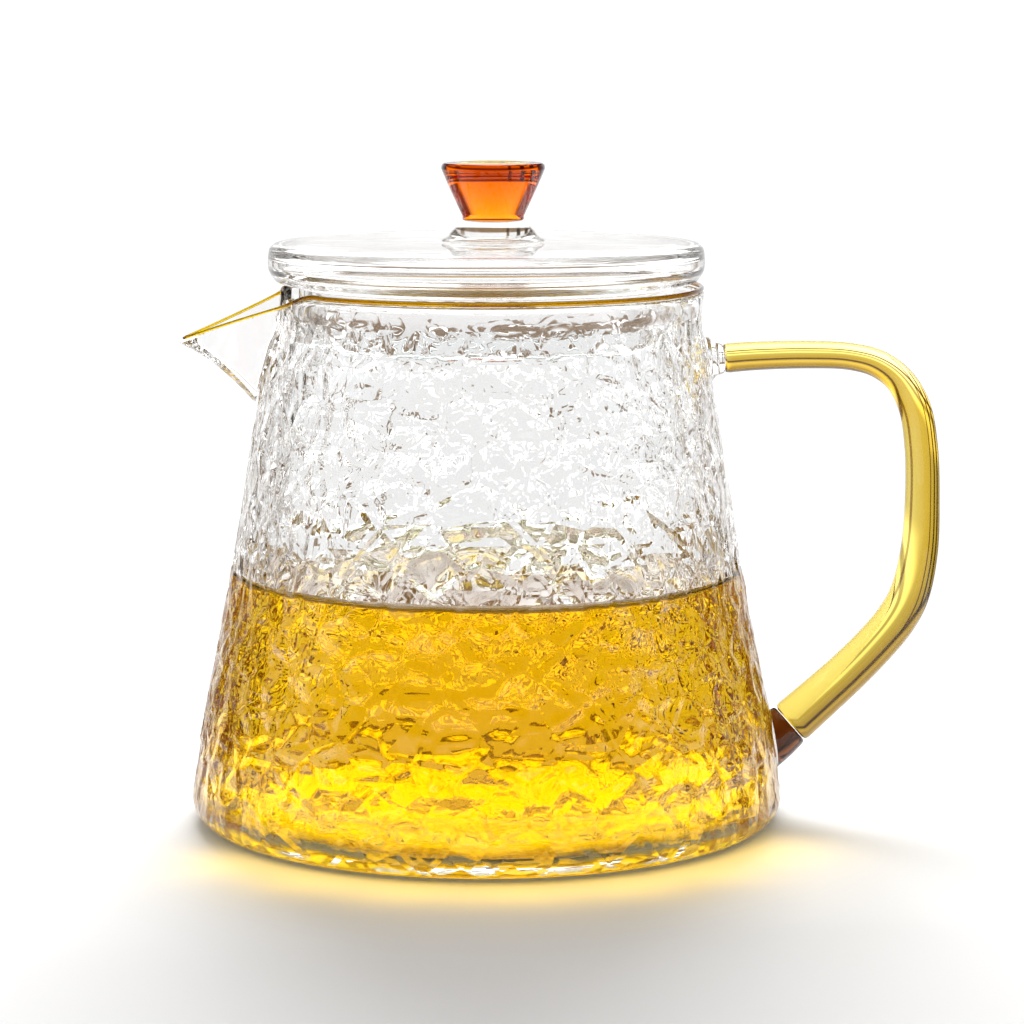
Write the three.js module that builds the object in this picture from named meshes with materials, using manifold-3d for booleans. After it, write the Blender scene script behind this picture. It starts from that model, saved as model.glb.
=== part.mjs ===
// Glass teapot, millimetres, +Z up. Origin at the centre of the flat base.
// +X points to the handle, -X to the pouring beak.
import * as THREE from 'three';
import { mergeVertices } from 'three/addons/utils/BufferGeometryUtils.js';
import Module from 'manifold-3d';

const wasm = await Module();
wasm.setup();

// Pot body
const BASE_FLAT_R = 57.0;
const BODY_MAX_R = 62.4;
const CORNER_H = 5.4;
const BODY_TOP_Z = 111.2;
const NECK_R = 44.9;
const RIM_R = 45.3;
const WALL = 2.0;
const FLOOR = 3.0;
// Outer wall stations from the foot to the neck: [radius, height]
const WALL_STATIONS = [
  [BODY_MAX_R, CORNER_H],
  [61.6, 13.0],
  [59.4, 25.4],
  [56.8, 38.1],
  [54.1, 51.5],
  [51.7, 65.1],
  [49.6, 78.3],
  [47.5, 91.9],
  [45.3, 102.4],
  [NECK_R, 107.0],
];
const GAP = 0.3;

// Pouring beak: an open V trough drawn out over the front of the mouth
const BEAK_TIP_X = -63.6;
const BEAK_TIP_TOP_Z = 101.2;
const BEAK_TIP_BOTTOM_Z = 100.7;
const BEAK_LENGTH = 28.0;
const BEAK_EDGE_RISE = 0.385;
const BEAK_TIP_HALF = 0.9;
const BEAK_ROOT_HALF = 18.5;
const BEAK_V_ROUND = 0.2;
const BEAK_WALL_SIDE = 1.8;
const BEAK_WALL_BOTTOM = 2.2;

// Amber thread of glass laid round the mouth and along the beak
const THREAD_R = 0.5;
const THREAD_BEAK_R = 0.28;
const THREAD_RING_R = 44.7;
const THREAD_Z = 111.85;

// Lid
const LID_BOTTOM_Z = 113.0;
const LID_TOP_Z = 121.1;
const LID_R = 45.4;
const LID_WALL = 2.0;
const SKIRT_R = 39.0;
const SKIRT_BOTTOM_Z = 100.5;
const SKIRT_WALL = 1.8;

// Knob and its clear foot
const FOOT_BOTTOM_Z = LID_TOP_Z + GAP;
const FOOT_TOP_Z = 125.5;
const FOOT_R = 10.8;
const KNOB_NECK_R = 6.4;
const KNOB_TOP_R = 10.8;
const KNOB_TOP_Z = 137.6;
const KNOB_DISH = 0.7;
// The foot is melted on by hand, a little off the middle of the lid
const KNOB_OFFSET = 1.4;

// Handle: [x, z, half thickness] down the middle of the rod
const HANDLE_LINE = [
  [50.0, 96.5, 3.1],
  [56.0, 96.9, 3.0],
  [68.0, 97.1, 2.9],
  [77.0, 96.6, 2.85],
  [82.9, 95.0, 2.95],
  [87.5, 91.6, 3.1],
  [90.8, 85.8, 3.4],
  [92.4, 77.2, 3.55],
  [92.8, 66.0, 3.7],
  [92.3, 54.8, 4.0],
  [90.3, 45.6, 4.25],
  [87.4, 40.2, 4.35],
  [83.0, 34.9, 4.4],
  [77.1, 29.0, 4.5],
  [72.0, 24.4, 4.65],
  [64.9, 18.2, 4.9],
];
const HANDLE_FULLNESS = 1.04;

const clear = { color: 0xe9eef0, roughness: 0.05, metalness: 0 };
const amber = { color: 0xd9661a, roughness: 0.05, metalness: 0 };
const honey = { color: 0xd9b23a, roughness: 0.05, metalness: 0 };
const gold = { color: 0xb5801c, roughness: 0.08, metalness: 0 };
const brown = { color: 0x5a2c10, roughness: 0.05, metalness: 0 };

function mesh(name, geometry, look) {
  geometry.computeVertexNormals();
  const piece = new THREE.Mesh(geometry, new THREE.MeshStandardMaterial(look));
  piece.name = name;
  return piece;
}

function lerp(a, b, t) {
  return a + (b - a) * t;
}

function arc(cx, cz, r, from, to, steps) {
  const points = [];
  for (let i = 0; i <= steps; i += 1) {
    const a = THREE.MathUtils.degToRad(lerp(from, to, i / steps));
    points.push([cx + r * Math.cos(a), cz + r * Math.sin(a)]);
  }
  return points;
}

// Turn welded, closed triangles the right way out
function closed(geometry) {
  const bare = geometry.index ? geometry.toNonIndexed() : geometry;
  bare.deleteAttribute('normal');
  bare.deleteAttribute('uv');
  const welded = mergeVertices(bare, 1e-4);
  const index = welded.index.array;
  const place = welded.attributes.position;
  const kept = [];
  let volume = 0;
  const a = new THREE.Vector3();
  const b = new THREE.Vector3();
  const c = new THREE.Vector3();
  for (let i = 0; i < index.length; i += 3) {
    const [p, q, r] = [index[i], index[i + 1], index[i + 2]];
    if (p === q || q === r || p === r) continue;
    kept.push([p, q, r]);
    a.fromBufferAttribute(place, p);
    b.fromBufferAttribute(place, q);
    c.fromBufferAttribute(place, r);
    volume += a.dot(b.cross(c));
  }
  const faces = volume < 0 ? kept.map(([p, q, r]) => [p, r, q]) : kept;
  const result = new THREE.BufferGeometry();
  result.setAttribute('position', place);
  result.setIndex(faces.flat());
  return result;
}

// Body of revolution about Z from [radius, height] points
function turned(profile, segments) {
  const points = profile.map(([r, z]) => new THREE.Vector2(r, z));
  const lathe = new THREE.LatheGeometry(points, segments);
  lathe.rotateX(Math.PI / 2);
  const place = lathe.attributes.position;
  const steps = points.length;
  for (let j = 0; j < steps; j += 1) {
    const last = segments * steps + j;
    place.setXYZ(last, place.getX(j), place.getY(j), place.getZ(j));
  }
  for (let i = 0; i < place.count; i += 1) {
    if (Math.hypot(place.getX(i), place.getY(i)) < 1e-6) place.setXYZ(i, 0, 0, place.getZ(i));
  }
  return closed(lathe);
}

// Closed skin over rings of points; ends capped with fans, or joined end to end
function skin(rings, loop) {
  const n = rings[0].length;
  const corners = [];
  const count = loop ? rings.length : rings.length - 1;
  for (let i = 0; i < count; i += 1) {
    const here = rings[i];
    const next = rings[(i + 1) % rings.length];
    for (let j = 0; j < n; j += 1) {
      const k = (j + 1) % n;
      corners.push(here[j], next[j], next[k], here[j], next[k], here[k]);
    }
  }
  if (!loop) {
    const ends = [rings[0], rings[rings.length - 1]];
    ends.forEach((ring, side) => {
      const middle = new THREE.Vector3();
      ring.forEach((p) => middle.addScaledVector(p, 1 / n));
      for (let j = 0; j < n; j += 1) {
        const k = (j + 1) % n;
        if (side === 0) corners.push(middle, ring[j], ring[k]);
        else corners.push(middle, ring[k], ring[j]);
      }
    });
  }
  return closed(new THREE.BufferGeometry().setFromPoints(corners));
}

function toSolid(geometry) {
  const vertProperties = new Float32Array(geometry.attributes.position.array);
  const triVerts = new Uint32Array(geometry.index.array);
  return new wasm.Manifold(new wasm.Mesh({ numProp: 3, vertProperties, triVerts }));
}

function toGeometry(solid) {
  const data = solid.getMesh();
  const geometry = new THREE.BufferGeometry();
  geometry.setAttribute('position', new THREE.BufferAttribute(data.vertProperties, 3));
  geometry.setIndex(Array.from(data.triVerts));
  return closed(geometry);
}

// Wall of the pot as a smooth line through its stations
function wallLine(steps) {
  const line = new THREE.SplineCurve(WALL_STATIONS.map(([r, z]) => new THREE.Vector2(r, z)));
  return line.getSpacedPoints(steps).map((p) => [p.x, p.y]);
}

function cornerLine(offset, steps) {
  const points = [];
  for (let i = 0; i < steps; i += 1) {
    const a = (Math.PI / 2) * (i / steps);
    const r = BASE_FLAT_R + (BODY_MAX_R - BASE_FLAT_R) * Math.sin(a);
    const z = CORNER_H * (1 - Math.cos(a));
    points.push([r - offset * Math.sin(a), z + offset * Math.cos(a)]);
  }
  return points;
}

function pushedIn(line, offset) {
  return line.map(([r, z]) => [r - offset, z]);
}

// Outside of the pot grown by a small margin, used to cut pieces that stand on it
function potEnvelope(grow) {
  const profile = [
    [0, -4],
    [BASE_FLAT_R, -4],
    ...pushedIn(cornerLine(0, 6), -grow),
    ...pushedIn(wallLine(22), -grow),
    [RIM_R + grow, BODY_TOP_Z],
    [RIM_R + grow, 130],
    [0, 130],
  ];
  return toSolid(turned(profile, 120));
}

// Half width of the beak at a distance from its tip
function beakHalf(d) {
  return Math.min(BEAK_TIP_HALF + 0.45 * d + 0.016 * d * d, BEAK_ROOT_HALF);
}

// One cross-section of the beak at a distance from its tip
function beakRing(d, side, lift, headroom) {
  const x = BEAK_TIP_X + d;
  const half = beakHalf(d) - side;
  const top = BEAK_TIP_TOP_Z + BEAK_EDGE_RISE * Math.min(d, 24);
  const bottom = BEAK_TIP_BOTTOM_Z - 0.45 * d - 0.024 * d * d + lift;
  const ring = [];
  const flat = Math.sqrt(1 + BEAK_V_ROUND ** 2) - BEAK_V_ROUND;
  const steps = 12;
  for (let i = 0; i <= steps; i += 1) {
    const v = -1 + (2 * i) / steps;
    const g = (Math.sqrt(v * v + BEAK_V_ROUND ** 2) - BEAK_V_ROUND) / flat;
    ring.push(new THREE.Vector3(x, half * v, lerp(bottom, top, g)));
  }
  if (headroom > 0) {
    ring.push(new THREE.Vector3(x, half * 1.25, top + headroom));
    ring.push(new THREE.Vector3(x, -half * 1.25, top + headroom));
  }
  return ring;
}

function beakSolid(start, side, lift, headroom) {
  const rings = [];
  const steps = 14;
  for (let i = 0; i <= steps; i += 1) {
    const d = lerp(start, BEAK_LENGTH, i / steps);
    rings.push(beakRing(d, side, lift, headroom));
  }
  return toSolid(skin(rings, false));
}

function beakChannel() {
  return beakSolid(4.0, BEAK_WALL_SIDE, BEAK_WALL_BOTTOM, 14);
}

function vessel() {
  const wall = wallLine(15);
  const profile = [
    [0, 0],
    ...cornerLine(0, 6),
    ...wall,
    [RIM_R, BODY_TOP_Z - 0.6],
    [RIM_R - 0.4, BODY_TOP_Z],
    [RIM_R - WALL + 0.3, BODY_TOP_Z],
    [RIM_R - WALL, BODY_TOP_Z - 0.6],
    ...pushedIn(wall, WALL).reverse().slice(0, -1),
    [BODY_MAX_R - WALL - 0.5, 6.0],
    [BODY_MAX_R - WALL - 1.8, 4.2],
    [BASE_FLAT_R - 1.0, FLOOR],
    [0, FLOOR],
  ];
  const shell = toSolid(turned(profile, 80));
  return mesh('vessel', toGeometry(shell.subtract(beakChannel()).subtract(threadBed())), clear);
}

function spout() {
  const outer = beakSolid(0, 0, 0, 0);
  const trough = outer.subtract(beakChannel()).subtract(potEnvelope(GAP)).subtract(threadBed());
  return mesh('spout', toGeometry(trough), clear);
}

// Path of the thread: round the mouth, then down each beak edge to the tip
function threadPath() {
  const points = [];
  for (let a = 32; a <= 328; a += 8) {
    const t = THREE.MathUtils.degToRad(180 + a);
    const x = THREAD_RING_R * Math.cos(t);
    const y = THREAD_RING_R * Math.sin(t);
    points.push(new THREE.Vector3(x, y, THREAD_Z));
  }
  const stations = [21, 18, 14, 10, 6, 3];
  const edge = (d, sign) => {
    const z = BEAK_TIP_TOP_Z + BEAK_EDGE_RISE * d + THREAD_BEAK_R;
    return new THREE.Vector3(BEAK_TIP_X + d, sign * (beakHalf(d) - 0.5), z);
  };
  stations.forEach((d) => points.push(edge(d, 1)));
  points.push(new THREE.Vector3(BEAK_TIP_X + 0.8, 0, BEAK_TIP_TOP_Z + 0.6));
  stations.reverse().forEach((d) => points.push(edge(d, -1)));
  return new THREE.CatmullRomCurve3(points, true, 'centripetal');
}

// The thread is drawn out thinner where it leaves the mouth for the beak
function threadRadius(centre) {
  const out = THREE.MathUtils.smoothstep(-centre.x, 38, 46);
  return lerp(THREAD_R, THREAD_BEAK_R, out);
}

function threadSweep(margin, steps) {
  const sides = 8;
  const path = threadPath();
  const up = new THREE.Vector3(0, 0, 1);
  const rings = [];
  for (let i = 0; i < steps; i += 1) {
    const centre = path.getPointAt(i / steps);
    const along = path.getTangentAt(i / steps);
    const across = new THREE.Vector3().crossVectors(up, along).normalize();
    const over = new THREE.Vector3().crossVectors(along, across);
    const radius = threadRadius(centre) + margin;
    const ring = [];
    for (let j = 0; j < sides; j += 1) {
      const a = (2 * Math.PI * j) / sides;
      const p = centre.clone();
      p.addScaledVector(across, radius * Math.cos(a));
      p.addScaledVector(over, radius * Math.sin(a));
      ring.push(p);
    }
    rings.push(ring);
  }
  return skin(rings, true);
}

// The bed the thread lies in, cut from the glass below it
function threadBed() {
  return toSolid(threadSweep(GAP, 120));
}

function lipThread() {
  return mesh('lip_thread', threadSweep(0, 152), gold);
}

function handle() {
  const steps = 56;
  const sides = 16;
  const line = new THREE.CatmullRomCurve3(
    HANDLE_LINE.map(([x, z, h]) => new THREE.Vector3(x, h, z)),
    false,
    'centripetal',
  );
  const stations = line.getSpacedPoints(steps);
  const rings = stations.map((s, i) => {
    const before = stations[Math.max(i - 1, 0)];
    const after = stations[Math.min(i + 1, steps)];
    const along = new THREE.Vector3(after.x - before.x, 0, after.z - before.z).normalize();
    const over = new THREE.Vector3(-along.z, 0, along.x);
    const ring = [];
    for (let j = 0; j < sides; j += 1) {
      const a = (2 * Math.PI * j) / sides;
      const p = new THREE.Vector3(s.x, s.y * HANDLE_FULLNESS * Math.sin(a), s.z);
      ring.push(p.addScaledVector(over, s.y * Math.cos(a)));
    }
    return ring;
  });
  return mesh('handle', skin(rings, false), honey);
}

// Pad of clear glass melted between the pot wall and one end of the handle
function weldPad(name, end, lean, profile, look) {
  const pad = turned(profile, 28);
  pad.rotateY(THREE.MathUtils.degToRad(lean));
  pad.translate(end[0], 0, end[1]);
  const cut = toSolid(pad).subtract(potEnvelope(GAP));
  return mesh(name, toGeometry(cut), look);
}

function upperWeld() {
  const face = -0.5;
  const profile = [
    [0, face],
    [2.7, face],
    [3.2, face - 0.5],
    [3.4, face - 1.2],
    [4.0, face - 2.2],
    [4.8, face - 3.0],
    [4.8, face - 5.0],
    [0, face - 5.0],
  ];
  const [x, z] = HANDLE_LINE[0];
  return weldPad('handle_weld_upper', [x, z], 86, profile, clear);
}

function lowerWeld() {
  const face = -0.4;
  const profile = [
    [0, face],
    [4.4, face],
    [5.0, face - 0.6],
    [5.1, face - 2.0],
    [5.3, face - 4.0],
    [5.3, face - 9.0],
    [0, face - 9.0],
  ];
  const [x, z] = HANDLE_LINE[HANDLE_LINE.length - 1];
  return weldPad('handle_weld_lower', [x, z], 48.8, profile, brown);
}

function lid() {
  const skirtMid = SKIRT_R - SKIRT_WALL / 2;
  const inner = SKIRT_R - SKIRT_WALL;
  const profile = [
    [0, LID_TOP_Z],
    ...arc(LID_R - 2.1, LID_TOP_Z - 1.9, 1.9, 90, 5, 5),
    [LID_R, LID_BOTTOM_Z + 4.4],
    [LID_R - 0.2, LID_BOTTOM_Z + 2.6],
    [LID_R - 0.75, LID_BOTTOM_Z + 1.5],
    [LID_R - 1.5, LID_BOTTOM_Z + 0.5],
    [LID_R - 2.8, LID_BOTTOM_Z],
    ...arc(SKIRT_R + 1.0, LID_BOTTOM_Z - 1.0, 1.0, 90, 180, 3),
    ...arc(skirtMid, SKIRT_BOTTOM_Z + SKIRT_WALL / 2, SKIRT_WALL / 2, 0, -180, 4),
    ...arc(inner + 1.6, LID_BOTTOM_Z + 0.4, 1.6, 180, 90, 3),
    [LID_R - 3.2, LID_BOTTOM_Z + 2.1],
    [LID_R - 2.3, LID_BOTTOM_Z + 3.2],
    [LID_R - 2.1, LID_BOTTOM_Z + 4.4],
    [LID_R - 2.4, LID_TOP_Z - LID_WALL - 0.6],
    [LID_R - 3.2, LID_TOP_Z - LID_WALL],
    [0, LID_TOP_Z - LID_WALL],
  ];
  return mesh('lid', turned(profile, 64), clear);
}

function knobFoot() {
  const profile = [
    [0, FOOT_BOTTOM_Z],
    [FOOT_R - 0.3, FOOT_BOTTOM_Z],
    [FOOT_R, FOOT_BOTTOM_Z + 0.2],
    [9.6, FOOT_BOTTOM_Z + 1.0],
    [8.4, FOOT_BOTTOM_Z + 2.3],
    [7.4, FOOT_BOTTOM_Z + 3.3],
    [KNOB_NECK_R + 0.3, FOOT_TOP_Z - 0.3],
    [KNOB_NECK_R, FOOT_TOP_Z],
    [0, FOOT_TOP_Z],
  ];
  const foot = mesh('knob_foot', turned(profile, 48), clear);
  foot.position.x = KNOB_OFFSET;
  return foot;
}

function knob() {
  const low = FOOT_TOP_Z + GAP;
  const profile = [
    [0, low],
    [KNOB_NECK_R - 0.3, low],
    [KNOB_NECK_R, low + 0.3],
    [KNOB_NECK_R, low + 0.9],
    [KNOB_TOP_R, KNOB_TOP_Z - 1.2],
    [KNOB_TOP_R - 0.1, KNOB_TOP_Z - 0.6],
    [KNOB_TOP_R - 0.6, KNOB_TOP_Z],
    [KNOB_TOP_R - 0.9, KNOB_TOP_Z],
    [8.0, KNOB_TOP_Z - KNOB_DISH * 0.4],
    [5.0, KNOB_TOP_Z - KNOB_DISH * 0.8],
    [0, KNOB_TOP_Z - KNOB_DISH],
  ];
  const grip = mesh('knob', turned(profile, 48), amber);
  grip.position.x = KNOB_OFFSET;
  return grip;
}

const teapot = new THREE.Group();
teapot.name = 'glass_teapot';

const pot = new THREE.Group();
pot.name = 'pot';
pot.add(vessel(), spout(), lipThread(), handle(), upperWeld(), lowerWeld());

const cover = new THREE.Group();
cover.name = 'cover';
cover.add(lid(), knobFoot(), knob());

teapot.add(pot, cover);

export default teapot;
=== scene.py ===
import math

import bmesh
import bpy
import numpy as np
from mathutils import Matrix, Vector


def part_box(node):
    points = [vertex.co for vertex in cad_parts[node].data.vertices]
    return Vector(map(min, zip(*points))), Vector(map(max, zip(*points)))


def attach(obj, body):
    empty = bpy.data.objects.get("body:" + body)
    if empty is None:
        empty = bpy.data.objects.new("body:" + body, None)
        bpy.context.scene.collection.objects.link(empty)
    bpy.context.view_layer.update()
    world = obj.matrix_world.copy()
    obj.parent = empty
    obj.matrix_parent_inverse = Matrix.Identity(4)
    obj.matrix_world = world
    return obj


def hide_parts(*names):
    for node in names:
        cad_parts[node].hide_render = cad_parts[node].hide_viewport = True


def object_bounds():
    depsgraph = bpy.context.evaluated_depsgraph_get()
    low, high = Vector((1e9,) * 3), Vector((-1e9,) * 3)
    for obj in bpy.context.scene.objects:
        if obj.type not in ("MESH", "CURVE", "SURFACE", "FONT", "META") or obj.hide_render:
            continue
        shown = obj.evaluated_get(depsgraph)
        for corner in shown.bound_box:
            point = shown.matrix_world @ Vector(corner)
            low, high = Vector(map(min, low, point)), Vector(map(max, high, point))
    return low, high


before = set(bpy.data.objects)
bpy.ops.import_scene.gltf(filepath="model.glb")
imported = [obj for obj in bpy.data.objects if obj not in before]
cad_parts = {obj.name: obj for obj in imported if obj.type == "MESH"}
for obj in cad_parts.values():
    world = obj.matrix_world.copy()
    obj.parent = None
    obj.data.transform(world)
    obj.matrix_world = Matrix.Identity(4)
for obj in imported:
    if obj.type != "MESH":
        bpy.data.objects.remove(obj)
cad_box = [list(map(float, c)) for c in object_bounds()]

MM = 0.001
TAU = 2 * math.pi

# ---------------------------------------------------------------- dimensions, mm
BASE_FLAT_R = 57.0
BODY_MAX_R = 62.4
CORNER_H = 5.4
BODY_TOP_Z = 111.2
RIM_R = 45.3
WALL = 2.0
FLOOR_T = 3.0
WALL_STATIONS = [
    (BODY_MAX_R, CORNER_H),
    (61.6, 13.0),
    (59.4, 25.4),
    (56.8, 38.1),
    (54.1, 51.5),
    (51.7, 65.1),
    (49.6, 78.3),
    (47.5, 91.9),
    (45.3, 102.4),
    (44.9, 107.0),
    (RIM_R, 110.6),
]
TEA_Z = 51.0

# hammered relief: cells measured along the wall and round a nominal girth
GIRTH = 340.0
SCOOP_PITCH, SCOOP_DEPTH, SCOOP_SEED = 6.4, 0.50, 11
FACET_PITCH, FACET_DEPTH, FACET_SEED = 5.3, 0.66, 5
RELIEF_FOOT = (4.0, 12.0)       # along the wall, where the relief comes in
RELIEF_NECK = (104.5, 108.0)    # height, where it ends under the neck
RELIEF_CALMER = (48, 62)        # height, over which it loses RELIEF_LOSS of its depth
RELIEF_LOSS = 0.4

BEAK_TIP_X = -63.6
BEAK_TIP_TOP_Z = 101.2
BEAK_TIP_BOTTOM_Z = 100.7
BEAK_LENGTH = 28.0
BEAK_EDGE_RISE = 0.385
BEAK_TIP_HALF = 0.9
BEAK_ROOT_HALF = 18.5
BEAK_V_ROUND = 0.2
BEAK_CUT = dict(start=4.0, side=1.8, lift=2.2, headroom=14)    # the channel, inside its walls

THREAD_R = 0.5
THREAD_BEAK_R = 0.28
THREAD_RING_R = 44.7
THREAD_Z = 111.85

LID_BOTTOM_Z = 113.0
LID_TOP_Z = 121.1
LID_R = 45.4
LID_WALL = 2.0
SKIRT_R = 39.0
SKIRT_BOTTOM_Z = 100.5
SKIRT_WALL = 1.8

HANDLE_LINE = [
    (50.0, 96.5, 3.1),
    (56.0, 96.9, 3.0),
    (68.0, 97.1, 2.9),
    (77.0, 96.6, 2.85),
    (82.9, 95.0, 2.95),
    (87.5, 91.6, 3.1),
    (90.8, 85.8, 3.4),
    (92.4, 77.2, 3.55),
    (92.8, 66.0, 3.7),
    (92.3, 54.8, 4.0),
    (90.3, 45.6, 4.25),
    (87.4, 40.2, 4.35),
    (83.0, 34.9, 4.4),
    (77.1, 29.0, 4.5),
    (72.0, 24.4, 4.65),
    (64.9, 18.2, 4.9),
]


# ---------------------------------------------------------------- mesh helpers
def lerp(a, b, t):
    return a + (b - a) * t


def catmull(points, count, closed=False):
    """Even points along a centripetal Catmull-Rom line through points of any dimension."""
    p = np.array(points, float)
    n = len(p)
    if closed:
        p = np.vstack([p[-1], p, p[0], p[1]])
    else:
        p = np.vstack([2 * p[0] - p[1], p, 2 * p[-1] - p[-2]])
    out = []
    spans = n if closed else n - 1
    for i in range(spans):
        a, b, c, d = p[i], p[i + 1], p[i + 2], p[i + 3]
        t0 = 0.0
        t1 = t0 + math.sqrt(np.linalg.norm(b - a)) + 1e-9
        t2 = t1 + math.sqrt(np.linalg.norm(c - b)) + 1e-9
        t3 = t2 + math.sqrt(np.linalg.norm(d - c)) + 1e-9
        for s in range(24):
            t = lerp(t1, t2, s / 24)
            a1 = (t1 - t) / (t1 - t0) * a + (t - t0) / (t1 - t0) * b
            a2 = (t2 - t) / (t2 - t1) * b + (t - t1) / (t2 - t1) * c
            a3 = (t3 - t) / (t3 - t2) * c + (t - t2) / (t3 - t2) * d
            b1 = (t2 - t) / (t2 - t0) * a1 + (t - t0) / (t2 - t0) * a2
            b2 = (t3 - t) / (t3 - t1) * a2 + (t - t1) / (t3 - t1) * a3
            out.append((t2 - t) / (t2 - t1) * b1 + (t - t1) / (t2 - t1) * b2)
    out.append(p[1] if closed else p[-2])
    out = np.array(out)
    step = np.linalg.norm(np.diff(out, axis=0), axis=1)
    run = np.concatenate([[0], np.cumsum(step)])
    stops = np.linspace(0, run[-1], count + 1)
    even = np.stack([np.interp(stops, run, out[:, k]) for k in range(out.shape[1])], 1)
    return even[:-1] if closed else even


def arc(cx, cz, r, start, end, steps):
    return [
        (cx + r * math.cos(math.radians(lerp(start, end, i / steps))),
         cz + r * math.sin(math.radians(lerp(start, end, i / steps))))
        for i in range(steps + 1)
    ]


def make_object(name, verts, faces, smooth_angle=40):
    mesh = bpy.data.meshes.new(name)
    mesh.from_pydata([tuple(v) for v in np.asarray(verts) * MM], [], faces)
    mesh.validate()
    mesh.update()
    obj = bpy.data.objects.new(name, mesh)
    bpy.context.scene.collection.objects.link(obj)
    finish_mesh(obj, smooth_angle)
    return obj


def finish_mesh(obj, smooth_angle):
    bm = bmesh.new()
    bm.from_mesh(obj.data)
    bmesh.ops.recalc_face_normals(bm, faces=bm.faces)
    if bm.calc_volume(signed=True) < 0:
        bmesh.ops.reverse_faces(bm, faces=bm.faces)
    bm.to_mesh(obj.data)
    bm.free()
    obj.data.shade_smooth()
    obj.data.set_sharp_from_angle(angle=math.radians(smooth_angle))


def lathe(name, profile, segments, smooth_angle=40):
    """Closed body of revolution; the profile starts and ends on the axis, or closes on itself."""
    on_axis = profile[0][0] < 1e-9
    prof = np.array(profile, float)
    verts = []
    rows = []
    ang = np.arange(segments) * TAU / segments
    for r, z in prof:
        if r < 1e-9:
            rows.append([len(verts)])
            verts.append((0, 0, z))
        else:
            rows.append(list(range(len(verts), len(verts) + segments)))
            verts.extend(zip(r * np.cos(ang), r * np.sin(ang), np.full(segments, z)))
    pairs = list(zip(rows[:-1], rows[1:]))
    if not on_axis:
        pairs.append((rows[-1], rows[0]))
    faces = []
    for lo, hi in pairs:
        for i in range(segments):
            k = (i + 1) % segments
            if len(lo) == 1:
                faces.append((lo[0], hi[i], hi[k]))
            elif len(hi) == 1:
                faces.append((lo[i], lo[k], hi[0]))
            else:
                faces.append((lo[i], lo[k], hi[k], hi[i]))
    return make_object(name, verts, faces, smooth_angle)


def skin(name, rings, loop=False, smooth_angle=40):
    """Closed skin over equal rings of points; ends are capped unless it is a loop."""
    rings = np.array(rings, float)
    count, n = rings.shape[:2]
    verts = [tuple(p) for p in rings.reshape(-1, 3)]
    faces = []
    for i in range(count if loop else count - 1):
        k = (i + 1) % count
        for j in range(n):
            m = (j + 1) % n
            faces.append((i * n + j, k * n + j, k * n + m, i * n + m))
    if not loop:
        faces.append(tuple(range(n)))
        faces.append(tuple((count - 1) * n + j for j in reversed(range(n))))
    return make_object(name, verts, faces, smooth_angle)


def cut(obj, cutter, keep_cutter=False, smooth_angle=40):
    """obj minus cutter."""
    mod = obj.modifiers.new("cut", "BOOLEAN")
    mod.operation = "DIFFERENCE"
    mod.solver = "MANIFOLD"
    mod.object = cutter
    bpy.context.view_layer.update()
    deps = bpy.context.evaluated_depsgraph_get()
    mesh = bpy.data.meshes.new_from_object(obj.evaluated_get(deps))
    if len(mesh.polygons) == 0:
        raise RuntimeError(f"cutting {obj.name} left nothing")
    obj.modifiers.remove(mod)
    old = obj.data
    obj.data = mesh
    bpy.data.meshes.remove(old)
    obj.data.name = obj.name
    obj.data.shade_smooth()
    obj.data.set_sharp_from_angle(angle=math.radians(smooth_angle))
    if not keep_cutter:
        drop(cutter)


def drop(obj):
    mesh = obj.data
    bpy.data.objects.remove(obj)
    bpy.data.meshes.remove(mesh)


# ---------------------------------------------------------------- pot body
def wall_line(steps):
    return [tuple(p) for p in catmull(WALL_STATIONS, steps)]


def corner_line(steps):
    out = []
    for i in range(steps):
        a = math.pi / 2 * i / steps
        out.append((BASE_FLAT_R + (BODY_MAX_R - BASE_FLAT_R) * math.sin(a),
                    CORNER_H * (1 - math.cos(a))))
    return out


def smoothstep(a, b, x):
    t = np.clip((x - a) / (b - a), 0, 1)
    return t * t * (3 - 2 * t)


def hammered(u, z, pitch, round_length, seed):
    """Scooped cells with crisp ridges between them: 0 on a ridge, 1 deep in a scoop.
    u runs round the pot and wraps at round_length."""
    cols = int(round(round_length / pitch))
    pitch_u = round_length / cols
    rows = int(160 / pitch)
    rng = np.random.RandomState(seed)
    ju = rng.uniform(-0.42, 0.42, (rows, cols))
    jz = rng.uniform(-0.42, 0.42, (rows, cols))
    weight = rng.uniform(-0.16, 0.16, (rows, cols))
    depth = rng.uniform(0.65, 1.0, (rows, cols))
    gu = u / pitch_u
    gz = z / pitch + 6
    cu = np.floor(gu).astype(int)
    cz = np.floor(gz).astype(int)
    best = np.full(u.shape, 1e9)
    second = np.full(u.shape, 1e9)
    deep = np.ones(u.shape)
    for dz in (-2, -1, 0, 1, 2):
        for du in (-2, -1, 0, 1, 2):
            r = np.clip(cz + dz, 0, rows - 1)
            c = cu + du
            cm = c % cols
            shift = 0.5 * (r % 2)
            pu = c + 0.5 + shift - 0.25 + ju[r, cm]
            pz = cz + dz + 0.5 + jz[r, cm]
            d = (gu - pu) ** 2 + (gz - pz) ** 2 + weight[r, cm]
            nearer = d < best
            second = np.where(nearer, best, np.minimum(second, d))
            deep = np.where(nearer, depth[r, cm], deep)
            best = np.where(nearer, d, best)
    bowl = np.clip(1 - best / 0.55, -0.4, 1.2)
    ridge = 1 - np.exp(-((second - best) / 0.22))
    return np.clip(0.72 * bowl * deep * ridge + 0.28 * ridge, 0, 1)


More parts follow.
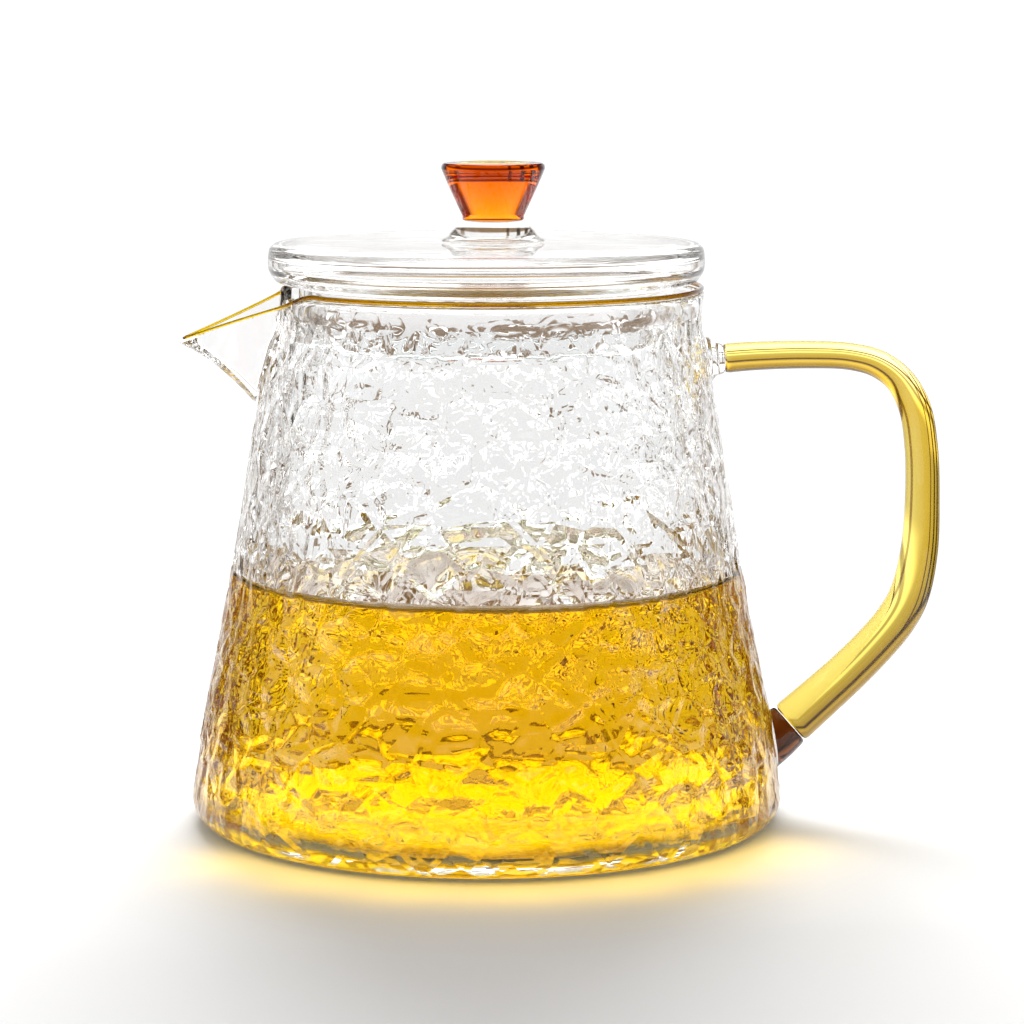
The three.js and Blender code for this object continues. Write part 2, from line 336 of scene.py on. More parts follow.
def facets(u, z, pitch, round_length, seed):
    """Flat triangles between random heights on a jittered lattice: creases that meet in stars."""
    cols = int(round(round_length / pitch))
    pitch_u = round_length / cols
    rows = int(160 / pitch)
    rng = np.random.RandomState(seed)
    ju = rng.uniform(-0.3, 0.3, (rows + 2, cols))
    jz = rng.uniform(-0.3, 0.3, (rows + 2, cols))
    high = rng.uniform(0, 1, (rows + 2, cols))
    gu = u / pitch_u
    gz = z / pitch + 6
    cu = np.floor(gu).astype(int)
    cz = np.floor(gz).astype(int)
    found = np.full(u.shape, 0.5)

    def corner(r, c):
        rr = np.clip(r, 0, rows)
        cm = c % cols
        return c + 0.5 * (rr % 2) + ju[rr, cm], r + jz[rr, cm], high[rr, cm]

    for dz in (-1, 0, 1):
        for du in (-2, -1, 0, 1, 2):
            r, c = cz + dz, cu + du
            odd = r % 2
            a, b = corner(r, c), corner(r, c + 1)
            d, e = corner(r + 1, c), corner(r + 1, c + 1)
            even_pair = [(a, b, d), (b, e, d)]
            odd_pair = [(a, e, d), (a, b, e)]
            for first, second in zip(even_pair, odd_pair):
                p, q, s = (
                    tuple(np.where(odd == 1, y, x) for x, y in zip(m, n))
                    for m, n in zip(first, second)
                )
                det = (q[1] - s[1]) * (p[0] - s[0]) + (s[0] - q[0]) * (p[1] - s[1])
                w0 = ((q[1] - s[1]) * (gu - s[0]) + (s[0] - q[0]) * (gz - s[1])) / det
                w1 = ((s[1] - p[1]) * (gu - s[0]) + (p[0] - s[0]) * (gz - s[1])) / det
                w2 = 1 - w0 - w1
                inside = (w0 >= -1e-9) & (w1 >= -1e-9) & (w2 >= -1e-9)
                found = np.where(inside, w0 * p[2] + w1 * q[2] + w2 * s[2], found)
    return found


def build_vessel():
    cols, rows = 620, 142
    outer = catmull([(BASE_FLAT_R, 0.0)] + corner_line(6)[1:] + WALL_STATIONS, rows)
    ang = np.arange(cols) * TAU / cols
    r = outer[:, 0][:, None] * np.ones(cols)[None, :]
    z = outer[:, 1][:, None] * np.ones(cols)[None, :]
    u = (ang / TAU * GIRTH)[None, :] * np.ones(rows + 1)[:, None]
    run = np.concatenate([[0], np.cumsum(np.linalg.norm(np.diff(outer, axis=0), axis=1))])
    v = run[:, None] * np.ones(cols)[None, :]
    fade = smoothstep(*RELIEF_FOOT, v) * (1 - smoothstep(*RELIEF_NECK, z))
    scoops = hammered(u, v, SCOOP_PITCH, GIRTH, SCOOP_SEED)
    creased = facets(u, v, FACET_PITCH, GIRTH, FACET_SEED)
    depth = SCOOP_DEPTH * scoops + FACET_DEPTH * creased
    sink = fade * depth * (1 - RELIEF_LOSS * smoothstep(*RELIEF_CALMER, z))
    sink += fade * 0.06 * np.sin(u * TAU / 85.0 + 1.3) * np.cos(v / 17.0)
    r = r - np.maximum(sink, 0)
    verts = [(0, 0, 0.0)]
    ring_rows = []
    for k in range(rows + 1):
        start = len(verts)
        verts.extend(zip(r[k] * np.cos(ang), r[k] * np.sin(ang), z[k]))
        ring_rows.append((start, cols))
    cols_in = 124
    ang_in = np.arange(cols_in) * TAU / cols_in

    def add(radius, height, count, angles):
        start = len(verts)
        verts.extend(zip(radius * np.cos(angles), radius * np.sin(angles), np.full(count, height)))
        ring_rows.append((start, count))

    rim = [(RIM_R - 0.12, 110.9), (RIM_R - 0.45, 111.14), (RIM_R - 1.0, BODY_TOP_Z)]
    for radius, height in rim:
        add(radius, height, cols, ang)
    for radius, height in [(RIM_R - WALL + 0.45, 111.14), (RIM_R - WALL + 0.12, 110.9)]:
        add(radius, height, cols_in, ang_in)
    inner = catmull(
        [(RIM_R - WALL, 110.6)] + [(a - WALL, b) for a, b in reversed(WALL_STATIONS[1:-1])]
        + [(BODY_MAX_R - WALL - 0.1, 9.0), (BODY_MAX_R - WALL - 0.8, 6.2),
           (BODY_MAX_R - WALL - 2.0, 4.3), (BASE_FLAT_R - 1.4, FLOOR_T + 0.15)], 32)
    for radius, height in inner:
        add(radius, height, cols_in, ang_in)
    add(40.0, FLOOR_T, cols_in, ang_in)
    top = len(verts)
    verts.append((0, 0, FLOOR_T))
    faces = []
    start, count = ring_rows[0]
    faces += [(0, start + (i + 1) % count, start + i) for i in range(count)]
    for (s0, n0), (s1, n1) in zip(ring_rows[:-1], ring_rows[1:]):
        if n0 == n1:
            for i in range(n0):
                k = (i + 1) % n0
                faces.append((s0 + i, s0 + k, s1 + k, s1 + i))
        else:
            ratio = n0 // n1
            for i in range(n1):
                k = (i + 1) % n1
                many = [s0 + (i * ratio + m) % n0 for m in range(ratio + 1)]
                faces.append(tuple(many) + (s1 + k, s1 + i))
    start, count = ring_rows[-1]
    faces += [(start + i, start + (i + 1) % count, top) for i in range(count)]
    obj = make_object("glass_body", verts, faces, 50)
    cut(obj, beak_body("beak_cutter", **BEAK_CUT), smooth_angle=50)
    return obj


# ---------------------------------------------------------------- beak
def beak_half(d):
    return min(BEAK_TIP_HALF + 0.45 * d + 0.016 * d * d, BEAK_ROOT_HALF)


def beak_ring(d, side, lift, headroom, steps):
    x = BEAK_TIP_X + d
    half = beak_half(d) - side
    top = BEAK_TIP_TOP_Z + BEAK_EDGE_RISE * min(d, 24)
    bottom = BEAK_TIP_BOTTOM_Z - 0.45 * d - 0.024 * d * d + lift
    flat = math.sqrt(1 + BEAK_V_ROUND ** 2) - BEAK_V_ROUND
    ring = []
    for i in range(steps + 1):
        v = -1 + 2 * i / steps
        g = (math.sqrt(v * v + BEAK_V_ROUND ** 2) - BEAK_V_ROUND) / flat
        ring.append((x, half * v, lerp(bottom, top, g)))
    if headroom:
        ring.append((x, half * 1.25, top + headroom))
        ring.append((x, -half * 1.25, top + headroom))
    return ring


def beak_body(name, start, side, lift, headroom, rows=48, steps=40):
    rings = [
        beak_ring(lerp(start, BEAK_LENGTH, i / rows), side, lift, headroom, steps)
        for i in range(rows + 1)
    ]
    return skin(name, rings)


def pot_envelope(grow, segments=300):
    prof = [(0, -4), (BASE_FLAT_R, -4), (BASE_FLAT_R + 2, -0.5)]
    prof += [(r + grow, z) for r, z in wall_line(60)]
    prof += [(RIM_R + grow, 130), (0, 130)]
    return lathe("envelope", prof, segments)


def build_spout():
    obj = beak_body("beak", 0, 0, 0, 0)
    cut(obj, beak_body("beak_cutter", **BEAK_CUT))
    cut(obj, pot_envelope(0.06))
    return obj


# ---------------------------------------------------------------- amber thread
def thread_path(count):
    pts = []
    for a in range(32, 329, 8):
        t = math.radians(180 + a)
        pts.append((THREAD_RING_R * math.cos(t), THREAD_RING_R * math.sin(t), THREAD_Z))

    def edge(d, sign):
        return (BEAK_TIP_X + d, sign * (beak_half(d) - 0.5),
                BEAK_TIP_TOP_Z + BEAK_EDGE_RISE * d + THREAD_BEAK_R)

    stations = [21, 18, 14, 10, 6, 3]
    pts += [edge(d, 1) for d in stations]
    pts.append((BEAK_TIP_X + 0.8, 0, BEAK_TIP_TOP_Z + 0.6))
    pts += [edge(d, -1) for d in reversed(stations)]
    return catmull(pts, count, closed=True)


def build_thread():
    path = thread_path(520)
    rings = []
    n = len(path)
    for i in range(n):
        t = path[(i + 1) % n] - path[i - 1]
        t /= np.linalg.norm(t)
        across = np.cross((0, 0, 1), t)
        across /= np.linalg.norm(across)
        over = np.cross(t, across)
        a = np.arange(16) * TAU / 16
        radius = lerp(THREAD_R, THREAD_BEAK_R, float(smoothstep(38, 46, -path[i][0]))) * 0.99
        rings.append(path[i] + radius * (np.cos(a)[:, None] * across + np.sin(a)[:, None] * over))
    return skin("amber_thread", rings, loop=True)


# ---------------------------------------------------------------- handle
def build_handle():
    line = catmull([(x, z, h) for x, z, h in HANDLE_LINE], 220)
    rings = []
    n = len(line)
    sides = 72
    a = np.arange(sides) * TAU / sides

    def ring(x, z, h, along, size, push):
        over = np.array([-along[1], 0, along[0]])
        centre = np.array([x + along[0] * push, 0, z + along[1] * push])
        side = np.array([0, 1.04, 0])
        return centre + 0.999 * h * size * (np.sin(a)[:, None] * side + np.cos(a)[:, None] * over)

    for i in range(n):
        x, z, h = line[i]
        b = line[min(i + 1, n - 1)] - line[max(i - 1, 0)]
        along = b[:2] / np.linalg.norm(b[:2])
        if i == 0:
            rings += [ring(x, z, h, along, 0.80, 0.0), ring(x, z, h, along, 0.95, 0.25)]
        elif i == n - 1:
            rings += [ring(x, z, h, along, 0.95, -0.3), ring(x, z, h, along, 0.80, 0.0)]
        elif 1 < i < n - 2:
            rings.append(ring(x, z, h, along, 1.0, 0.0))
    # each vertex keeps how far it faces down and out: its lower side gets the painted shade, its upper
    # side the painted highlight
    return facing_side(skin("amber_handle", rings), "painted_shade_side", (0.35, 0.0, -0.94))


def weld_pad(name, end, lean, profile):
    pad = lathe(name, profile, 72)
    c, s = math.cos(math.radians(lean)), math.sin(math.radians(lean))
    co = np.array([v.co for v in pad.data.vertices])
    moved = np.stack([co[:, 0] * c + co[:, 2] * s + end[0] * MM, co[:, 1],
                      -co[:, 0] * s + co[:, 2] * c + end[1] * MM], 1)
    pad.data.vertices.foreach_set("co", moved.astype(np.float32).ravel())
    pad.data.update()
    cut(pad, pot_envelope(0.04))
    return pad


def build_upper_weld():
    prof = [(0, -0.12)] + arc(2.6, -0.72, 0.6, 90, 20, 5)
    prof += [tuple(p) for p in catmull([(3.25, -0.9), (3.4, -1.5), (3.95, -2.3), (4.75, -3.0)], 14)]
    prof += [(4.78, -5.0), (0, -5.0)]
    return weld_pad("weld_pad_upper", HANDLE_LINE[0][:2], 86, prof)


def build_lower_weld():
    prof = [(0, -0.12)] + arc(4.3, -0.72, 0.6, 90, 20, 5)
    prof += [tuple(p) for p in catmull([(4.98, -0.95), (5.1, -2.0), (5.26, -4.0)], 12)]
    prof += [(5.28, -9.0), (0, -9.0)]
    return weld_pad("weld_pad_lower", HANDLE_LINE[-1][:2], 48.8, prof)


# ---------------------------------------------------------------- lid and knob
def build_lid():
    mid, inner = SKIRT_R - SKIRT_WALL / 2, SKIRT_R - SKIRT_WALL
    top, low = LID_TOP_Z, LID_BOTTOM_Z
    prof = [(0, top), (12, top), (30, top), (40, top)]
    prof += arc(LID_R - 2.1, top - 1.9, 1.9, 90, 5, 12)
    prof += [tuple(p) for p in catmull(
        [(LID_R - 0.12, top - 2.4), (LID_R, low + 4.4), (LID_R - 0.2, low + 2.6)], 12)]
    prof += [tuple(p) for p in catmull(
        [(LID_R - 0.42, low + 2.2), (LID_R - 0.75, low + 1.5), (LID_R - 1.5, low + 0.55),
         (LID_R - 2.8, low + 0.02)], 14)]
    prof += arc(SKIRT_R + 1.0, low - 1.0, 1.0, 90, 180, 8)
    prof += arc(mid, SKIRT_BOTTOM_Z + SKIRT_WALL / 2, SKIRT_WALL / 2, 0, -180, 14)
    prof += arc(inner + 1.6, low + 0.4, 1.6, 180, 90, 8)
    prof += [tuple(p) for p in catmull(
        [(LID_R - 4.6, low + 2.0), (LID_R - 3.2, low + 2.2), (LID_R - 2.3, low + 3.2),
         (LID_R - 2.1, low + 4.4), (LID_R - 2.4, top - LID_WALL - 0.6),
         (LID_R - 3.2, top - LID_WALL - 0.05)], 26)]
    prof += [(38, top - LID_WALL), (20, top - LID_WALL), (0, top - LID_WALL)]
    return lathe("glass_lid", prof, 240, 50)


def shift_x(obj, mm):
    co = np.array([v.co for v in obj.data.vertices])
    co[:, 0] += mm * MM
    obj.data.vertices.foreach_set("co", co.astype(np.float32).ravel())
    obj.data.update()
    return obj


def middle_x(node):
    lo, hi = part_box(node)
    return (lo.x + hi.x) / 2 / MM


def build_foot():
    lo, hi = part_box("knob_foot")
    z0, z1 = lo.z / MM, hi.z / MM
    prof = [(0, z0), (10.5, z0)] + arc(10.5, z0 + 0.2, 0.2, -90, 20, 4)
    prof += [tuple(p) for p in catmull(
        [(10.4, z0 + 0.5), (9.6, z0 + 1.0), (8.4, z0 + 2.3), (7.4, z0 + 3.3), (6.75, z1 - 0.3)], 24)]
    prof += [(6.4, z1), (0, z1)]
    return shift_x(lathe("knob_stem", prof, 144), middle_x("knob_foot"))


def build_knob():
    lo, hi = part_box("knob")
    z0, z1 = lo.z / MM, hi.z / MM
    prof = [(0, z0), (6.1, z0)] + arc(6.1, z0 + 0.3, 0.3, -90, 0, 5)
    prof += [tuple(p) for p in catmull(
        [(6.41, z0 + 0.9), (7.4, z0 + 3.0), (8.6, z0 + 5.6), (9.8, z0 + 8.3), (10.76, z1 - 1.2)], 20)]
    prof += [(10.72, z1 - 0.6), (10.55, z1 - 0.25), (10.2, z1), (9.9, z1)]
    prof += [(r, z1 - 0.7 * (1 - (r / 9.95) ** 2)) for r in (9.6, 9, 8, 7, 6, 5, 4, 3, 2, 1, 0)]
    return shift_x(lathe("amber_knob", prof, 144, 25), middle_x("knob"))


# ---------------------------------------------------------------- tea
def build_tea():
    over = 0.35
    inner = [(a - WALL + over, b) for a, b in WALL_STATIONS[1:-1] if b < TEA_Z - 4]
    side = [(BASE_FLAT_R - 1.4 + over, FLOOR_T + 0.15 - over),
            (BODY_MAX_R - WALL - 2.0 + over, 4.3 - over / 2),
            (BODY_MAX_R - WALL - 0.8 + over, 6.2), (BODY_MAX_R - WALL - 0.1 + over, 9.0)] + inner
    wall_r = 52.1 + over
    side += [(wall_r + 0.3, TEA_Z), (wall_r - 0.15, TEA_Z + 2.5)]
    prof = [(0, FLOOR_T - over), (40.0, FLOOR_T - over)]
    prof += [tuple(p) for p in catmull(side, 60)]
    r1 = wall_r - 0.15
    for i in range(1, 31):
        d = 0.1 * i + 0.008 * i * i
        rise = 1.75 * math.exp(-d / 2.0) + 0.75 * math.exp(-d / 0.35)
        prof.append((r1 - d, TEA_Z + rise))
    prof += [(r1 - 13.0, TEA_Z + 0.005), (25, TEA_Z), (0, TEA_Z)]
    return lathe("tea", prof, 200, 60)


# ---------------------------------------------------------------- materials
def nodes_of(name):
    mat = bpy.data.materials.new(name)
    mat.use_nodes = True
    tree = mat.node_tree
    shader = next(n for n in tree.nodes if n.type == "BSDF_PRINCIPLED")
    out = next(n for n in tree.nodes if n.type == "OUTPUT_MATERIAL")
    return mat, tree, shader, out


def noise_into(tree, scale, detail, target, low, high, stretch=(1, 1, 1)):
    """A soft random value between low and high, wired into one shader socket."""
    coord = tree.nodes.new("ShaderNodeTexCoord")
    mapping = tree.nodes.new("ShaderNodeMapping")
    mapping.inputs["Scale"].default_value = stretch
    noise = tree.nodes.new("ShaderNodeTexNoise")
    noise.inputs["Scale"].default_value = scale
    noise.inputs["Detail"].default_value = detail
    ramp = tree.nodes.new("ShaderNodeMapRange")
    ramp.inputs["To Min"].default_value = low
    ramp.inputs["To Max"].default_value = high
    tree.links.new(coord.outputs["Object"], mapping.inputs["Vector"])
    tree.links.new(mapping.outputs["Vector"], noise.inputs["Vector"])
    tree.links.new(noise.outputs["Fac"], ramp.inputs["Value"])
    tree.links.new(ramp.outputs["Result"], target)
    return noise


def bump_into(tree, shader, scale, strength, distance, stretch=(1, 1, 1), detail=2):
    coord = tree.nodes.new("ShaderNodeTexCoord")
    mapping = tree.nodes.new("ShaderNodeMapping")
    mapping.inputs["Scale"].default_value = stretch
    noise = tree.nodes.new("ShaderNodeTexNoise")
    noise.inputs["Scale"].default_value = scale
    noise.inputs["Detail"].default_value = detail
    bump = tree.nodes.new("ShaderNodeBump")
    bump.inputs["Strength"].default_value = strength
    bump.inputs["Distance"].default_value = distance
    tree.links.new(coord.outputs["Object"], mapping.inputs["Vector"])
    tree.links.new(mapping.outputs["Vector"], noise.inputs["Vector"])
    tree.links.new(noise.outputs["Fac"], bump.inputs["Height"])
    tree.links.new(bump.outputs["Normal"], shader.inputs["Normal"])


def creases_into(tree, shader):
    """Crisp creases between small pressed facets: a fine relief over the mesh's own, heights in mm."""
    new, link = tree.nodes.new, tree.links.new
    coord = new("ShaderNodeTexCoord")
    total = None
    layers = (120.0, "DISTANCE_TO_EDGE", 0.17, 0.14), (105.0, "F1", 0.66, 1.0)
    for scale, feature, height, limit in layers:
        cells = new("ShaderNodeTexVoronoi")
        cells.feature = feature
        if feature == "F1":
            cells.distance = "MANHATTAN"
        cells.inputs["Scale"].default_value = scale
        shape = new("ShaderNodeMapRange")
        shape.inputs["From Max"].default_value = limit
        shape.inputs["To Max"].default_value = height
        link(coord.outputs["Object"], cells.inputs["Vector"])
        link(cells.outputs["Distance"], shape.inputs["Value"])
        if total is None:
            total = shape.outputs["Result"]
        else:
            add = new("ShaderNodeMath")
            link(total, add.inputs[0])
            link(shape.outputs["Result"], add.inputs[1])
            total = add.outputs[0]
    bump = new("ShaderNodeBump")
    bump.inputs["Strength"].default_value = 1.0
    bump.inputs["Distance"].default_value = 0.001
    link(total, bump.inputs["Height"])
    link(bump.outputs["Normal"], shader.inputs["Normal"])


def glass(name, ior, absorb=None, density=0.0, bump=None, rough=(0.0, 0.02), painted_shade=None):
    mat, tree, shader, out = nodes_of(name)
    if bump == "creases":
        creases_into(tree, shader)
        bump = None
    shader.inputs["Transmission Weight"].default_value = 1.0
    shader.inputs["IOR"].default_value = ior
    shader.inputs["Base Color"].default_value = (1, 1, 1, 1)
    if painted_shade:
        painted_shade_into(tree, shader, *painted_shade)
    noise_into(tree, 40, 2, shader.inputs["Roughness"], *rough)
    if bump:
        bump_into(tree, shader, **bump)
    if absorb:
        volume = tree.nodes.new("ShaderNodeVolumeAbsorption")
        volume.inputs["Color"].default_value = (*absorb, 1)
        volume.inputs["Density"].default_value = density
        tree.links.new(volume.outputs["Volume"], out.inputs["Volume"])
    return mat


def facing_side(obj, name, side):
    """Keep on each vertex how far its surface faces one side of the object, from -1 to 1."""
    values = [v.normal.dot(Vector(side).normalized()) for v in obj.data.vertices]
    obj.data.attributes.new(name, "FLOAT", "POINT").data.foreach_set("value", values)
    return obj


def painted_shade_into(tree, shader, name, pale, honey, deep):
    """Painted light and shade: the colour runs from a pale painted highlight on one side of a rod,
    through the glass's own honey, to a near-black painted shade on the other side.
    """
    facing = tree.nodes.new("ShaderNodeAttribute")
    facing.attribute_name = name
    where = tree.nodes.new("ShaderNodeMapRange")
    where.inputs["From Min"].default_value = -0.35
    where.inputs["From Max"].default_value = 0.55
    ramp = tree.nodes.new("ShaderNodeValToRGB")
    ramp.color_ramp.elements.new(0.37)
    for stop, colour in zip(ramp.color_ramp.elements, (pale, honey, deep)):
        stop.color = (*colour, 1)
    tree.links.new(facing.outputs["Fac"], where.inputs["Value"])
    tree.links.new(where.outputs["Result"], ramp.inputs["Fac"])
    tree.links.new(ramp.outputs["Color"], shader.inputs["Base Color"])


def dress(obj, material, body, slot, *nodes):
    obj.data.materials.clear()
    obj.data.materials.append(material)
    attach(obj, body)
    if nodes:
        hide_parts(*nodes)


hammered_glass = glass("hammered_glass", 1.47, (0.93, 0.95, 0.955), 6.0,
                       bump="creases", rough=(0.0, 0.01))
smooth_glass = glass("smooth_glass", 1.47, (0.93, 0.95, 0.955), 6.0,
                     bump=dict(scale=60, strength=0.12, distance=0.0006, stretch=(1, 1, 0.5)))
# the honey is the handle glass's own colour; its pale upper side and near-black lower side are painted
# light and shade
honey_glass = glass("honey_glass", 1.47, (0.965, 0.90, 0.03), 80.0,
                    bump=dict(scale=70, strength=0.15, distance=0.0008, detail=1),
                    painted_shade=("painted_shade_side", (1.0, 0.99, 0.93), (0.80, 0.56, 0.10), (0.10, 0.055, 0.004)))
amber_glass = glass("amber_glass", 1.50, (0.980, 0.868, 0.015), 950.0,
                    bump=dict(scale=80, strength=0.12, distance=0.0005, detail=1))
thread_glass = glass("thread_glass", 1.50, (0.905, 0.835, 0.02), 10000.0,
                     bump=dict(scale=90, strength=0.2, distance=0.0005, detail=1))
brown_glass = glass("brown_glass", 1.49, (0.71, 0.54, 0.28), 900.0,
                    bump=dict(scale=80, strength=0.15, distance=0.0006, detail=1))
tea_liquid = glass("tea_liquid", 1.333, (0.989, 0.895, 0.01), 66.0,
                   bump=dict(scale=25, strength=0.05, distance=0.0006, detail=1), rough=(0.0, 0.004))


def smooth_inside(obj):
    """The hammered relief is on the outside of the wall only, below the neck."""
    obj.data.materials.append(smooth_glass)
    line = np.array(wall_line(60))
    for face in obj.data.polygons:
        x, y, z = np.array(face.center) / MM
        mid = np.interp(z, line[:, 1], line[:, 0]) - WALL / 2 if z > CORNER_H else BASE_FLAT_R + 1.0
        outside = math.hypot(x, y) > mid and 0.6 < z < 106.5
        face.material_index = 0 if outside else 1


vessel = build_vessel()
dress(vessel, hammered_glass, "pot", "clear_glass", "vessel")
smooth_inside(vessel)
dress(build_spout(), smooth_glass, "pot", "clear_glass", "spout")
dress(build_thread(), thread_glass, "pot", "gold_thread", "lip_thread")
dress(build_handle(), honey_glass, "pot", "honey_glass", "handle")
dress(build_upper_weld(), smooth_glass, "pot", "clear_glass", "handle_weld_upper")
dress(build_lower_weld(), brown_glass, "pot", "brown_glass", "handle_weld_lower")
dress(build_lid(), smooth_glass, "cover", "clear_glass", "lid")
dress(build_foot(), smooth_glass, "cover", "clear_glass", "knob_foot")
dress(build_knob(), amber_glass, "cover", "amber_glass", "knob")
dress(build_tea(), tea_liquid, "pot", None)


# ---------------------------------------------------------------- stage
def build_floor():
    mesh = bpy.data.meshes.new("floor")
    bm = bmesh.new()
    bmesh.ops.create_circle(bm, cap_ends=True, radius=0.37, segments=96)
    bm.to_mesh(mesh)
    bm.free()
    obj = bpy.data.objects.new("floor", mesh)
    obj.location = (0, -0.25, cad_box[0][2] - 0.0002)
    bpy.context.scene.collection.objects.link(obj)
    mat, tree, shader, out = nodes_of("pale_table")
    shader.inputs["Base Color"].default_value = (0.86, 0.855, 0.85, 1)
    shader.inputs["Roughness"].default_value = 0.45
    shader.inputs["Specular IOR Level"].default_value = 0.2
    mesh.materials.append(mat)
    return obj


STUDIO_TURN = 5.5       # degrees that the camera and the world's light are turned about the pot
BACKDROP = 1.1          # world strength where the camera sees it directly
AMBIENT = 0.78          # world strength for rays that none of the branches below tells apart
THROUGH_POT = 1.7       # world strength that reaches the table through glass
TEA_GLOW = 0.0026       # watts of each small lamp that stands in for the golden light at the foot
TEA_GLOW_COUNT, TEA_GLOW_STEP, TEA_GLOW_R = 7, 18, 0.0655


def build_world():
    scene = bpy.context.scene
    world = bpy.data.worlds.new("studio")
    scene.world = world
    world.use_nodes = True
    tree = world.node_tree
    tree.nodes.clear()
    new, link = tree.nodes.new, tree.links.new
    out = new("ShaderNodeOutputWorld")
    coord = new("ShaderNodeTexCoord")
    split = new("ShaderNodeSeparateXYZ")
    link(coord.outputs["Generated"], split.inputs["Vector"])

    def math_node(op, a, b=None):
        node = new("ShaderNodeMath")
        node.operation = op
        for k, value in enumerate((a, b)):
            if value is None:
                continue
            if isinstance(value, (int, float)):
                node.inputs[k].default_value = value
            else:
                link(value, node.inputs[k])
        return node.outputs[0]

    def ramp(value, lo, hi, a, b):
        node = new("ShaderNodeMapRange")
        node.interpolation_type = "SMOOTHSTEP"
        for key, number in (("From Min", lo), ("From Max", hi), ("To Min", a), ("To Max", b)):
            node.inputs[key].default_value = number
        link(value, node.inputs["Value"])
        return node.outputs[0]

    def background(strength, colour=(1, 1, 1, 1)):
        node = new("ShaderNodeBackground")
        node.inputs["Color"].default_value = colour
        if isinstance(strength, (int, float)):
            node.inputs["Strength"].default_value = strength
        else:
            link(strength, node.inputs["Strength"])
        return node.outputs[0]

    def mix(factor, a, b):
        node = new("ShaderNodeMixShader")
        link(factor, node.inputs["Fac"])
        link(a, node.inputs[1])
        link(b, node.inputs[2])
        return node.outputs[0]

    x, y, z = (split.outputs[k] for k in ("X", "Y", "Z"))
    azimuth = math_node("MULTIPLY", math_node("ARCTAN2", x, y), 180 / math.pi)
    height = math_node("MULTIPLY", math_node("ARCSINE", z), 180 / math.pi)

    # degrees to the right of straight behind the pot
    azimuth = math_node("SUBTRACT", azimuth, STUDIO_TURN)
    away_from_back = math_node("ABSOLUTE", azimuth)

    def times(*factors):
        total = factors[0]
        for factor in factors[1:]:
            total = math_node("MULTIPLY", total, factor)
        return total

    def strip(value, middle, half, soft, dark):
        """1 everywhere, falling to dark inside a strip round the middle."""
        away = math_node("ABSOLUTE", math_node("SUBTRACT", value, middle))
        return ramp(away, half - soft, half + soft, dark, 1.0)

    # upright gaps between the screens behind the pot, seen low down only
    gaps = times(
        strip(azimuth, -13.0, 1.3, 0.7, 0.25),
        strip(azimuth, -25.0, 2.4, 0.8, 0.08),
        strip(azimuth, -39.0, 4.0, 1.0, 0.08),
        strip(azimuth, 33.0, 4.0, 2.0, 0.40),
    )
    low_down = ramp(height, 3.0, 9.0, 1.0, 0.0)
    gaps = math_node("ADD", 1.0, math_node("MULTIPLY", low_down, math_node("SUBTRACT", gaps, 1.0)))
    # what glass shows through itself: a white sweep, brighter high and low, with dark flags and gaps
    through = times(
        gaps,
        math_node("ADD", ramp(height, 6.0, 13.0, 1.0, 2.5), ramp(height, -12.0, -9.5, 0.95, 0.0)),
        strip(height, 4.5, 2.2, 1.0, 0.28),
        strip(height, -16.0, 1.5, 0.8, 0.42),
        strip(height, -22.5, 1.5, 0.7, 0.15),
        ramp(height, -32.0, -25.0, 1.25, 1.0),
        ramp(height, 30.0, 42.0, 1.0, 0.25),
        ramp(away_from_back, 35.0, 70.0, 1.0, 0.8),
        ramp(away_from_back, 100.0, 120.0, 1.0, 0.2),
        strip(azimuth, -66.0, 12.0, 3.0, 0.08),
        strip(azimuth, 84.0, 10.0, 3.0, 0.25),
        strip(height, 62.0, 5.0, 3.0, 0.3),
    )
    # what glass mirrors: a bright low back wall, darkness over it, a lamp overhead
    back_wall = times(ramp(away_from_back, 18.0, 60.0, 1.0, 0.08), ramp(height, 12.0, 17.0, 1.0, 0.12))
    mirrored = math_node("ADD", back_wall, ramp(height, 58.0, 68.0, 0.0, 1.0))
    # the open room lights the table more from behind than from the front
    room = ramp(y, -0.7, 0.7, 0.12, 1.35)
    path = new("ShaderNodeLightPath")
    # a ray refracted by glass counts as glossy too, so the transmission branch comes second
    world_light = mix(path.outputs["Is Glossy Ray"], background(AMBIENT), background(mirrored))
    warmth = new("ShaderNodeMix")
    warmth.data_type = "RGBA"
    warmth.inputs["A"].default_value = (1.0, 0.66, 0.38, 1)
    warmth.inputs["B"].default_value = (1, 1, 1, 1)
    link(ramp(through, 0.1, 1.0, 0.0, 1.0), warmth.inputs["Factor"])
    seen_through = background(through)
    link(warmth.outputs["Result"], seen_through.node.inputs["Color"])
    world_light = mix(path.outputs["Is Transmission Ray"], world_light, seen_through)
    scattered = math_node("GREATER_THAN", path.outputs["Diffuse Depth"], 0.5)
    on_table = mix(path.outputs["Is Transmission Ray"], background(room), background(THROUGH_POT))
    world_light = mix(scattered, world_light, on_table)
    world_light = mix(path.outputs["Is Camera Ray"], world_light, background(BACKDROP))
    link(world_light, out.inputs["Surface"])


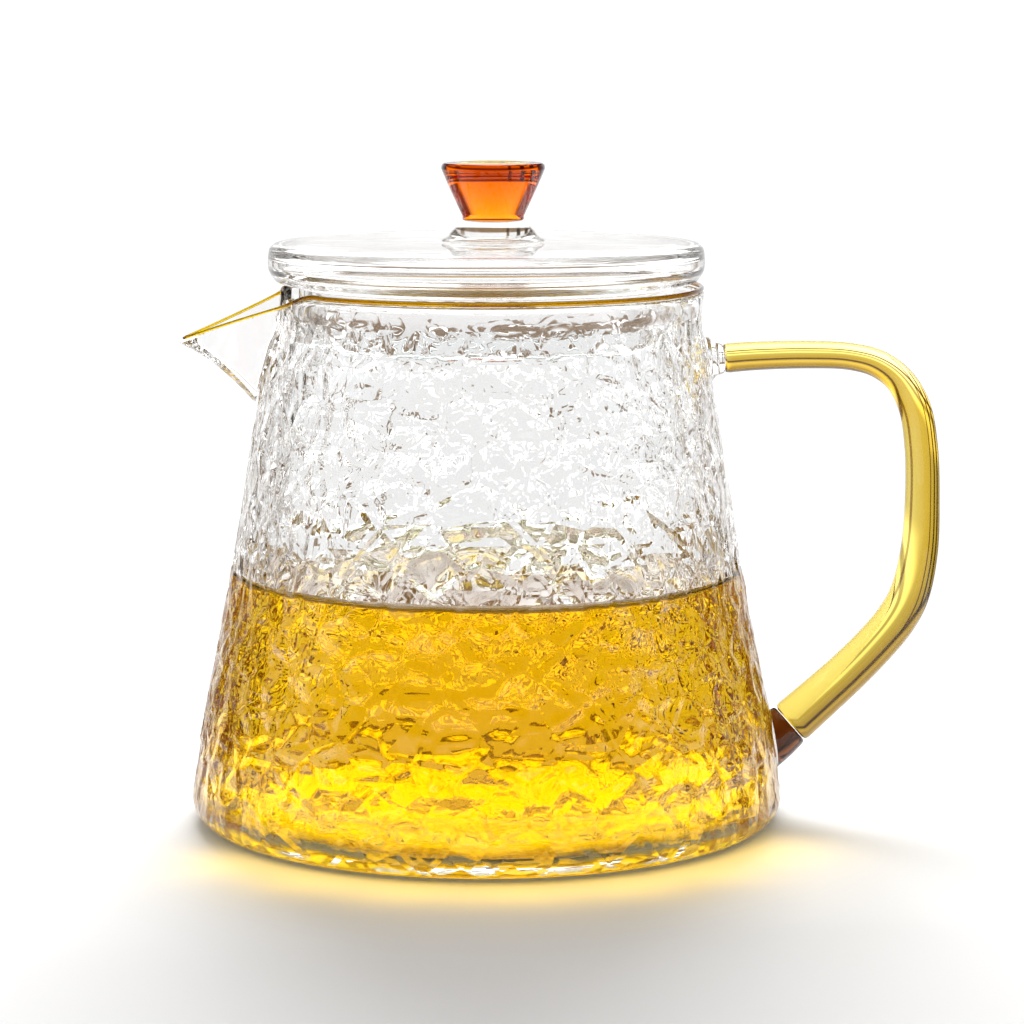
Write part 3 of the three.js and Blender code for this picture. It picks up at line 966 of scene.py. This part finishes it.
def softbox(name, place, aim, size, energy, colour=(1, 1, 1)):
    """A soft lamp that lights the table and is not seen in the glass."""
    data = bpy.data.lights.new(name, "AREA")
    data.shape = "RECTANGLE"
    data.size, data.size_y = size
    data.energy = energy
    data.color = colour
    lamp = bpy.data.objects.new(name, data)
    lamp.location = place
    lamp.rotation_euler = (Vector(aim) - Vector(place)).to_track_quat("-Z", "Y").to_euler()
    bpy.context.scene.collection.objects.link(lamp)
    for ray in ("camera", "glossy", "transmission"):
        setattr(lamp, "visible_" + ray, False)
    return lamp


def build_softboxes():
    softbox("key", (0.10, 1.30, 0.95), (0, 0, 0), (0.9, 0.6), 27.0)
    softbox("sweep", (0.05, 0.52, 0.38), (0, 0.12, 0), (0.55, 0.35), 2.6)
    # a stand-in for the golden light that tea throws on a table, round the front of the foot
    for k in range(TEA_GLOW_COUNT):
        a = math.radians(TEA_GLOW_STEP * (k - (TEA_GLOW_COUNT - 1) / 2))
        x, y = TEA_GLOW_R * math.sin(a), -TEA_GLOW_R * math.cos(a)
        softbox("tea_glow_%d" % k, (x, y, 0.012), (x, y, 0), (0.018, 0.018), TEA_GLOW, (1.0, 0.64, 0.02))


def build_camera():
    turn = math.radians(STUDIO_TURN)
    away, across, high = 738.6, 5.3, 169.85
    data = bpy.data.cameras.new("camera")
    data.lens = 125
    data.sensor_width = 36
    data.clip_start = 0.01
    cam = bpy.data.objects.new("camera", data)
    x = across * math.cos(turn) - away * math.sin(turn)
    y = -across * math.sin(turn) - away * math.cos(turn)
    cam.location = (x * MM, y * MM, high * MM)
    cam.rotation_euler = (math.radians(90 - 8.11), 0, -turn)
    bpy.context.scene.collection.objects.link(cam)
    bpy.context.scene.camera = cam


build_floor()
build_world()
build_softboxes()
build_camera()
scene = bpy.context.scene
scene.view_settings.view_transform = "Standard"
scene.view_settings.look = "None"
scene.cycles.max_bounces = 48
scene.cycles.transmission_bounces = 48
scene.cycles.glossy_bounces = 40
scene.cycles.diffuse_bounces = 4
scene.cycles.caustics_refractive = True
scene.cycles.caustics_reflective = True
